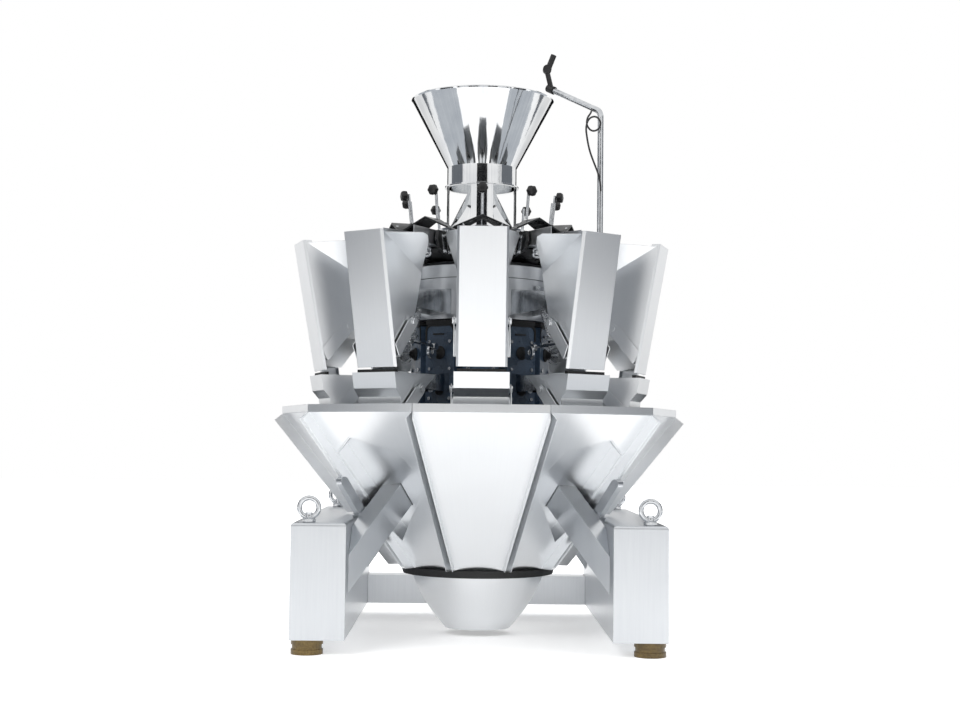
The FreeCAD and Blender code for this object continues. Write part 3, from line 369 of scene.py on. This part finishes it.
MIDDLE = (0, 0, 0.75)
soft_lamp("key_left", (-2.6, -3.4, 3.4), MIDDLE, 2.2, 95)
soft_lamp("fill_right", (3.2, -2.8, 2.2), MIDDLE, 2.6, 55)
soft_lamp("top", (0, 0.2, 4.4), MIDDLE, 3.0, 60)
soft_lamp("back", (0.8, 4.0, 3.0), MIDDLE, 2.6, 60)


def reflector_card(name, azimuth, spread, outline, code):
    """A bent card round the object, seen only by reflections; outline is (radius, z) in metres."""
    card_mesh = bpy.data.meshes.new(name)
    points, faces, steps, row = [], [], 10, len(outline)
    for i in range(steps + 1):
        a = math.radians(azimuth + spread * (i / steps - 0.5))
        for radius, z in outline:
            points.append((radius * math.sin(a), -radius * math.cos(a), z))
    for i in range(steps):
        for j in range(row - 1):
            k = i * row + j
            faces.append((k, k + 1, k + row + 1, k + row))
    card_mesh.from_pydata(points, [], faces)
    card_material, card_tree, card_output = start_material(name)
    shade = add_node(card_tree, "ShaderNodeEmission", values={"Color": linear(code)})
    card_tree.links.new(shade.outputs[0], card_output.inputs["Surface"])
    card_mesh.materials.append(card_material)
    card = bpy.data.objects.new(name, card_mesh)
    scene.collection.objects.link(card)
    card.visible_camera = card.visible_diffuse = card.visible_shadow = False
    card.visible_transmission = False
    return card


UPRIGHT = [(3.4, 0.35), (3.4, 2.6)]
LAID = [(1.5, 0.004), (3.4, 0.006)]
for sign, side in ((-1, "left"), (1, "right")):
    reflector_card("side_card_" + side, sign * 92, 52, UPRIGHT, "#72767c")
    reflector_card("floor_card_" + side, sign * 92, 90, LAID, "#c4c9cf")
    reflector_card("edge_card_" + side, sign * 156, 18, [(3.2, 0.0), (3.2, 3.6)], "#141517")
reflector_card("camera_card", 0, 34, [(5.2, 0.9), (5.2, 2.4)], "#1d1e20")

# %% [markdown]
# ## Mesh helpers
# A small part is easiest to describe the way a workshop makes it: a bar cut to length, a profile
# turned on a lathe, a plate cut to an outline, a wire bent round points. Each helper adds one such
# shape to a growing mesh, so ten heads can share one object, and the last one turns the mesh into
# an object with its finish, a small bevel on its edges and soft shading on its curved sides.

# %% Bars, turned parts, plates and bent wire


def across(direction):
    """Two unit vectors square to a direction and to each other."""
    direction = direction.normalized()
    first = direction.orthogonal().normalized()
    return first, direction.cross(first)


def add_rings(bm, rings, closed=False):
    """Skin a row of rings of points, with flat caps unless the row closes on itself."""
    rows = [[bm.verts.new(p) for p in ring] for ring in rings]
    count = len(rows[0])
    pairs = list(zip(rows, rows[1:])) + ([(rows[-1], rows[0])] if closed else [])
    for low_row, high_row in pairs:
        for i in range(count):
            j = (i + 1) % count
            bm.faces.new((low_row[i], low_row[j], high_row[j], high_row[i]))
    if not closed:
        bm.faces.new(list(reversed(rows[0])))
        bm.faces.new(rows[-1])


def add_rod(bm, start, end, radius, sides=14, end_radius=None):
    """A round bar, or with few sides a hexagon bar, from start to end."""
    side_a, side_b = across(end - start)
    rings = []
    for place, r in ((start, radius), (end, end_radius or radius)):
        rings.append([place + (side_a * math.cos(t) + side_b * math.sin(t)) * r * MM
                      for t in (2 * math.pi * i / sides for i in range(sides))])
    add_rings(bm, rings)


def add_turned(bm, base, axis, outline, sides=24):
    """A lathe part: outline is (distance along the axis, radius) in mm from its base."""
    axis = axis.normalized()
    side_a, side_b = across(axis)
    rings = []
    for along, r in outline:
        rings.append([base + axis * along * MM + (side_a * math.cos(t) + side_b * math.sin(t)) * max(r, 0.05) * MM
                      for t in (2 * math.pi * i / sides for i in range(sides))])
    add_rings(bm, rings)


def add_plate(bm, outline, push):
    """A flat plate: its outline of points, and the vector that gives its thickness."""
    add_rings(bm, [outline, [p + push for p in outline]])


def add_wire(bm, points, radius, sides=8, closed=False):
    """Round wire bent through points; each ring is carried along so that it never twists."""
    rings, side_a = [], None
    count = len(points)
    for i, place in enumerate(points):
        before = points[i - 1] if i or closed else place
        after = points[(i + 1) % count] if i < count - 1 or closed else place
        run = (after - before).normalized()
        side_a = across(run)[0] if side_a is None else (side_a - run * side_a.dot(run)).normalized()
        side_b = run.cross(side_a)
        rings.append([place + (side_a * math.cos(t) + side_b * math.sin(t)) * radius * MM
                      for t in (2 * math.pi * k / sides for k in range(sides))])
    add_rings(bm, rings, closed)


def finish_piece(name, bm, finish, body="machine", bevel_mm=0.0, soft_angle=40):
    """Make the mesh an object: outward faces, soft shading, an optional bevel, its finish, its body."""
    bmesh.ops.recalc_face_normals(bm, faces=bm.faces[:])
    for edge in bm.edges:
        if len(edge.link_faces) == 2:
            edge.smooth = edge.calc_face_angle(0.0) < math.radians(soft_angle)
    mesh = bpy.data.meshes.new(name)
    bm.to_mesh(mesh)
    bm.free()
    for polygon in mesh.polygons:
        polygon.use_smooth = True
    mesh.materials.append(finish)
    piece = bpy.data.objects.new(name, mesh)
    bpy.context.scene.collection.objects.link(piece)
    if bevel_mm:
        bevel = piece.modifiers.new("soft_edges", "BEVEL")
        bevel.width, bevel.segments, bevel.limit_method = bevel_mm * MM, 2, "ANGLE"
        bevel.angle_limit = math.radians(50)
        bevel.harden_normals = False
    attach(piece, body)
    print(name, len(mesh.polygons), "faces")
    return piece


def out_from(azimuth):
    """The outward direction of a head."""
    return at(1000, 0, 0, azimuth).normalized()


def sideways(azimuth):
    """The direction across a head."""
    return at(0, 1000, 0, azimuth).normalized()


print("axis of the front head points", tuple(round(v, 2) for v in out_from(0)))

# %% [markdown]
# ## Feeder drives and their covers
# Under each pan sits a vibrating drive: a black cast housing whose two cheeks hold the pan, with a
# stack of leaf springs on each side that lets it shake outwards only. Over it goes a bent black
# cover that a star knob clamps. Seen from the front these are the darkest parts of the machine, so
# they are built with their own cheeks, springs and bolts and stand for the plain CAD blocks.

# %% Drive housings, springs and covers
PAN_LOW, PAN_HIGH = node_span("feeder_pans")
COVER_LOW, COVER_HIGH = node_span("feeder_covers")
DECK = DRUM_HIGH.z                    # top of the drum's cap
COVER_SPAN = (198, 262)               # inner and outer end of a cover
COVER_WIDE = (61, 80)                 # its half widths there
EAVE = PAN_HIGH.z + 4


def pan_half(u):
    """Half the width of a pan at radius u; pans widen outwards."""
    return 22 + (u - 82) * 30 / 293


housings, springs, screws, covers = (bmesh.new() for _ in range(4))
for azimuth in HEAD_AZIMUTHS:
    out, side = out_from(azimuth), sideways(azimuth)
    add_plate(housings, [at(152, -38, DECK + 1, azimuth), at(152, 38, DECK + 1, azimuth),
                         at(184, 54, DECK + 1, azimuth), at(238, 50, DECK + 30, azimuth),
                         at(238, -50, DECK + 30, azimuth), at(184, -54, DECK + 1, azimuth)], UP * 0.032)
    for sign in (-1, 1):
        inner, outer = sign * (pan_half(160) + 3), sign * (pan_half(272) + 3)
        cheek = [at(160, inner, DECK + 30, azimuth), at(196, sign * (pan_half(196) + 3), DECK + 6, azimuth),
                 at(262, sign * (pan_half(262) + 3), DECK + 26, azimuth), at(276, outer, DECK + 48, azimuth),
                 at(272, outer, EAVE - 5, azimuth), at(160, inner, EAVE - 5, azimuth)]
        add_plate(housings, cheek, side * sign * 0.011)
        for k in range(3):
            u = 186 + 24 * k
            v = sign * (pan_half(u) + 15)
            add_plate(springs, [at(u, v, DECK + 14, azimuth), at(u + 12, v, DECK + 14, azimuth),
                                at(u + 22, v, EAVE - 14, azimuth), at(u + 10, v, EAVE - 14, azimuth)],
                      side * sign * 0.002)
            for z, lean_u in ((DECK + 19, 7), (EAVE - 19, 14)):
                add_turned(screws, at(u + lean_u, v + sign * 2, z, azimuth), side * sign,
                           [(0, 5.2), (1.2, 5.2), (1.2, 4.4), (4.6, 4.4), (5.2, 3.6)], 12)
    add_turned(springs, at(247, 0, DECK + 20, azimuth), out,
               [(0, 15), (5, 15), (6, 14), (6, 9), (12, 9), (13, 8)], 20)
    ridge = []
    for u, half in zip(COVER_SPAN, COVER_WIDE):
        rise = 37
        ridge.append([at(u, -half, EAVE, azimuth), at(u, -half * 0.93, EAVE + 5, azimuth),
                      at(u, -7, EAVE + rise - 3, azimuth), at(u, 0, EAVE + rise, azimuth),
                      at(u, 7, EAVE + rise - 3, azimuth), at(u, half * 0.93, EAVE + 5, azimuth),
                      at(u, half, EAVE, azimuth), at(u, half * 0.9, EAVE + 1, azimuth),
                      at(u, 0, EAVE + rise - 5, azimuth), at(u, -half * 0.9, EAVE + 1, azimuth)])
    add_rings(covers, ridge)
    for u in (206, 254):
        for sign in (-1, 1):
            add_turned(screws, at(u, sign * 30, EAVE + 19, azimuth), UP + side * sign * 0.55,
                       [(0, 5), (2, 5), (2, 4), (5, 4)], 6)
drive_housings = finish_piece("drive_housings", housings, BLACK_POWDER, bevel_mm=1.5)
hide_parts("feeder_drives")
finish_piece("leaf_springs", springs, BRIGHT_STEEL, bevel_mm=0.3)
finish_piece("drive_screws", screws, BRIGHT_STEEL)
ridge_covers = finish_piece("ridge_covers", covers, BLACK_POWDER, bevel_mm=0.6)
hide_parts("feeder_covers")

# %% [markdown]
# ## Star knobs
# A star knob is moulded nylon: lobes round a hub, so that a greasy hand can turn it. One smooth
# outline whose radius swells six times round gives the lobes, and rings of it at different sizes
# give the rounded shoulders.

# %% Star knobs
KNOB_LOW, KNOB_HIGH = node_span("star_knobs")
KNOB_AT = (218.3, (KNOB_LOW.z + KNOB_HIGH.z) / 2)
knobs = bmesh.new()
for azimuth in HEAD_AZIMUTHS:
    out, side = out_from(azimuth), sideways(azimuth)
    rings = []
    for along, size in ((0, 0.45), (0.5, 0.72), (3, 0.98), (5, 1.0), (12, 1.0), (15, 0.93), (17, 0.70), (17.2, 0.3)):
        ring = []
        for i in range(48):
            turn = 2 * math.pi * i / 48
            r = 15.0 * size * (1 - 0.13 * (0.5 + 0.5 * math.cos(6 * turn)) ** 0.8)
            ring.append(at(KNOB_AT[0] + along, r * math.sin(turn), KNOB_AT[1] + r * math.cos(turn), azimuth))
        rings.append(ring)
    add_rings(knobs, rings)
star_knob_heads = finish_piece("star_knob_heads", knobs, BLACK_NYLON)
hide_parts("star_knobs")

# %% [markdown]
# ## Discharge bowl
# The bowl under the chute is spun on a lathe from one disc, so its side swells smoothly and its
# rim is rolled. A profile with many close steps, turned round the axis, gives that with no facets.
# The inner wall is the same profile one sheet further in, so the outlet shows real thickness.

# %% Spun bowl
BOWL_LOW, BOWL_HIGH = node_span("discharge_bowl")
bowl_mesh = bmesh.new()
outer_side = []
for i in range(25):
    t = i / 24
    outer_side.append((BOWL_HIGH.z - 3 + (BOWL_LOW.z - BOWL_HIGH.z + 3) * t,
                       182.0 + (91.0 - 182.0) * t + 10.0 * math.sin(math.pi * t)))
profile = [(BOWL_HIGH.z, 180.0), (BOWL_HIGH.z - 1, 182.5)] + outer_side
profile += [(z, r - 2.0) for z, r in reversed(outer_side)] + [(BOWL_HIGH.z - 1, 178.5)]
steps = 96
columns = []
for i in range(steps):
    turn = 2 * math.pi * i / steps
    columns.append([bowl_mesh.verts.new((r * MM * math.cos(turn), r * MM * math.sin(turn), z * MM))
                    for z, r in profile])
for i in range(steps):
    left, right = columns[i], columns[(i + 1) % steps]
    for j in range(len(profile)):
        k = (j + 1) % len(profile)
        bowl_mesh.faces.new((left[j], right[j], right[k], left[k]))
spun_bowl = finish_piece("spun_bowl", bowl_mesh, SATIN_STEEL)
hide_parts("discharge_bowl")

# %% [markdown]
# ## Lifting eyes
# Forged eye bolts stand on the side boxes for the crane. The ring is a true torus, a little
# thicker at its foot, and it grows out of a turned collar.

# %% Eye bolts
EYE_LOW, EYE_HIGH = node_span("lifting_eyes")
BOX_LOW, BOX_HIGH = node_span("side_boxes")
eyes = bmesh.new()
EYE_RING = 24.0
EYE_BAR = 6.5
eye_height = EYE_HIGH.z - 6 - EYE_RING
for x in (-1, 1):
    for y in (-1, 1):
        place = Vector((x * (EYE_HIGH.x - EYE_RING - 6) * MM, y * (EYE_HIGH.y - 17) * MM, 0))
        ring = []
        for i in range(40):
            turn = 2 * math.pi * i / 40
            ring.append(place + Vector((EYE_RING * MM * math.sin(turn), 0, (eye_height + EYE_RING * math.cos(turn)) * MM)))
        add_wire(eyes, ring, EYE_BAR, 14, closed=True)
        add_turned(eyes, place + UP * (BOX_HIGH.z + 0.3) * MM, UP,
                   [(0, 16), (1, 17), (7, 17), (9, 15), (12, 10), (18, 8), (24, 9)], 28)
eye_bolts = finish_piece("eye_bolts", eyes, BRIGHT_STEEL)
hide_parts("lifting_eyes")

# %% [markdown]
# ## Seals, shade strips and screws
# Dark rubber lies where two housings meet: a thin seam under the cap of the drum and a gasket on
# top of each actuator box. The dark strips on the shoulders of the actuator boxes are partly the
# edge of that rubber and partly painted shade of the gap above the box. The dark strips along the
# hoppers' lower edges are painted shadow: thin black plates put in the gaps there, where there is
# only shade. These thin dark lines divide the bright steel. The actuator boxes also carry socket
# screws and the round boots of their output shafts.

# %% Rubber seals, painted shade strips, boots and box screws
BOX_LOW, BOX_HIGH = node_span("actuator_boxes")
BOX_FACE = 187.0
seals_and_shade_strips, boots, bolts = bmesh.new(), bmesh.new(), bmesh.new()
drum_seam = [Vector((193.2 * MM * math.sin(t), 193.2 * MM * math.cos(t), (DRUM_HIGH.z - 44) * MM))
             for t in (2 * math.pi * i / 96 for i in range(96))]
add_wire(seals_and_shade_strips, drum_seam, 1.2, 6, closed=True)
for azimuth in HEAD_AZIMUTHS:
    out, side = out_from(azimuth), sideways(azimuth)
    add_plate(seals_and_shade_strips, [at(152, -46, BOX_HIGH.z + 0.5, azimuth), at(152, 46, BOX_HIGH.z + 0.5, azimuth),
                      at(190, 46, BOX_HIGH.z + 0.5, azimuth), at(190, -46, BOX_HIGH.z + 0.5, azimuth)],
              UP * 0.012)
    # strips along the box shoulders: partly the edge of the rubber lid, partly painted shade of the gap above the box
    shoulder = [(-48.5, -40), (-48.5, -13), (-45, -4), (-36, 0.8), (36, 0.8), (45, -4), (48.5, -13), (48.5, -40)]
    for (v1, z1), (v2, z2) in zip(shoulder, shoulder[1:]):
        add_plate(seals_and_shade_strips, [at(BOX_FACE + 0.4, v1, BOX_HIGH.z + z1, azimuth), at(BOX_FACE + 0.4, v2, BOX_HIGH.z + z2, azimuth),
                          at(BOX_FACE + 0.4, v2 * 0.9, BOX_HIGH.z + z2 - 5, azimuth), at(BOX_FACE + 0.4, v1 * 0.9, BOX_HIGH.z + z1 - 5, azimuth)],
                  out * 0.002)
    add_plate(seals_and_shade_strips, [at(BOX_FACE + 0.4, -22, BOX_HIGH.z - 28, azimuth), at(BOX_FACE + 0.4, 14, BOX_HIGH.z - 28, azimuth),
                      at(BOX_FACE + 0.4, 14, BOX_HIGH.z - 24, azimuth), at(BOX_FACE + 0.4, -22, BOX_HIGH.z - 24, azimuth)],
              out * 0.003)
    for v, z, r in ((0, BOX_HIGH.z - 76, 15), (0, BOX_HIGH.z - 176, 12)):
        fold = [(0, r + 3), (3, r + 3)] + [(3 + 2.2 * k, r - 1.2 * k + (1.5 if k % 2 else -1.5)) for k in range(1, 9)]
        add_turned(boots, at(BOX_FACE + 0.4, v, z, azimuth), out, fold, 20)
        add_turned(bolts, at(BOX_FACE + 20, v, z, azimuth), out, [(0, 5), (16, 5), (16.5, 9), (20, 9), (21, 8)], 16)
    for v, z in ((-34, -46), (34, -46), (-34, -120), (34, -120), (-34, -200), (34, -200)):
        add_turned(bolts, at(BOX_FACE + 0.4, v, BOX_HIGH.z + z, azimuth), out,
                   [(0, 4.6), (3.4, 4.6), (4, 4), (4, 2.2), (2, 2)], 12)
    # painted shadow: thin black plates in the gaps along the lower edges of the feed and weigh hoppers, where there
    # is only shade
    for u, z, half in ((458, 712, 62), (436, 586, 68)):
        add_plate(seals_and_shade_strips, [at(u - 12, -half, z, azimuth), at(u - 1, -half, z, azimuth),
                          at(u - 1, half, z, azimuth), at(u - 12, half, z, azimuth)], UP * -0.010)
finish_piece("rubber_seals_and_shade_strips", seals_and_shade_strips, BLACK_RUBBER)
finish_piece("shaft_boots", boots, BLACK_RUBBER)
finish_piece("box_screws", bolts, BRIGHT_STEEL)

# %% [markdown]
# ## Gate springs and push rods
# Behind each feed hopper a crank on the output shaft pushes a rod, and two springs pull the gate
# shut. A coil spring is a wire bent round a helix, so the wire helper makes it from points that
# turn round the line between its two hooks.

# %% Springs, push rods and cranks
coils, rods = bmesh.new(), bmesh.new()


def add_coil(bm, start, end, radius, turns, wire):
    """A coil spring between two points, with a straight hook at each end."""
    run = end - start
    side_a, side_b = across(run)
    points = [start]
    for i in range(turns * 10 + 1):
        t = i / (turns * 10)
        swing = 2 * math.pi * turns * t
        points.append(start + run * (0.08 + 0.84 * t)
                      + (side_a * math.cos(swing) + side_b * math.sin(swing)) * radius * MM)
    add_wire(bm, points + [end], wire, 6)


for azimuth in HEAD_AZIMUTHS:
    side = sideways(azimuth)
    for v in (-24, 24):
        add_coil(coils, at(300, v, 896, azimuth), at(338, v, 806, azimuth), 6.5, 13, 1.4)
    add_turned(rods, at(222, -4, BOX_HIGH.z - 76, azimuth), side, [(0, 19), (1, 20), (7, 20), (8, 19)], 24)
    add_rod(rods, at(226, 12, BOX_HIGH.z - 62, azimuth), at(332, 12, 792, azimuth), 4.0)
    for u, z in ((226, BOX_HIGH.z - 62), (332, 792)):
        add_turned(rods, at(u, 6, z, azimuth), side, [(0, 9), (1, 10), (11, 10), (12, 9)], 16)
    add_rod(rods, at(334, -34, 800, azimuth), at(334, 34, 800, azimuth), 5.0)
finish_piece("gate_springs", coils, BRIGHT_STEEL)
finish_piece("push_rods", rods, BRIGHT_STEEL)

# %% [markdown]
# ## Finishes on the frame
# Each CAD piece keeps its shape and only gets its finish. A table from node name to material is
# the clearest way, and a loop then fills every slot of every mesh.

# %% Materials of the CAD pieces
FINISH = {
    "floor_feet": BROWN_RUBBER, "side_boxes": BRUSHED_STEEL, "rear_beam": BRUSHED_STEEL,
    "lifting_eyes": BRIGHT_STEEL, "support_legs": BRUSHED_STEEL, "leg_clamps": BRUSHED_STEEL,
    "centre_base": BRUSHED_STEEL, "chute_panels": SATIN_STEEL, "chute_leg_panels": SATIN_STEEL,
    "throat_collar": BLACK_RUBBER, "discharge_bowl": SATIN_STEEL, "body_drum": BRUSHED_STEEL,
    "actuator_boxes": BLUE_ENAMEL, "hopper_hangers": BRIGHT_STEEL, "feed_hoppers": SATIN_STEEL,
    "weigh_hoppers": SATIN_STEEL, "feeder_pans": SATIN_STEEL, "feeder_covers": BLACK_POWDER,
    "feeder_drives": BLACK_POWDER, "knob_rods": BRIGHT_STEEL, "star_knobs": BLACK_NYLON,
    "dispersion_cone": POLISHED_STEEL, "infeed_funnel": POLISHED_STEEL, "funnel_stand": BRIGHT_STEEL,
    "sensor_post": BRIGHT_STEEL, "sensor_head": BLACK_NYLON, "sensor_cable": CABLE_JACKET,
}
for name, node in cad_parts.items():
    finish = SATIN_STEEL if "_gate_" in name else FINISH[name]
    node.data.materials.clear()
    node.data.materials.append(finish)
    for polygon in node.data.polygons:
        polygon.material_index = 0
print(len(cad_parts), "CAD pieces have a finish")
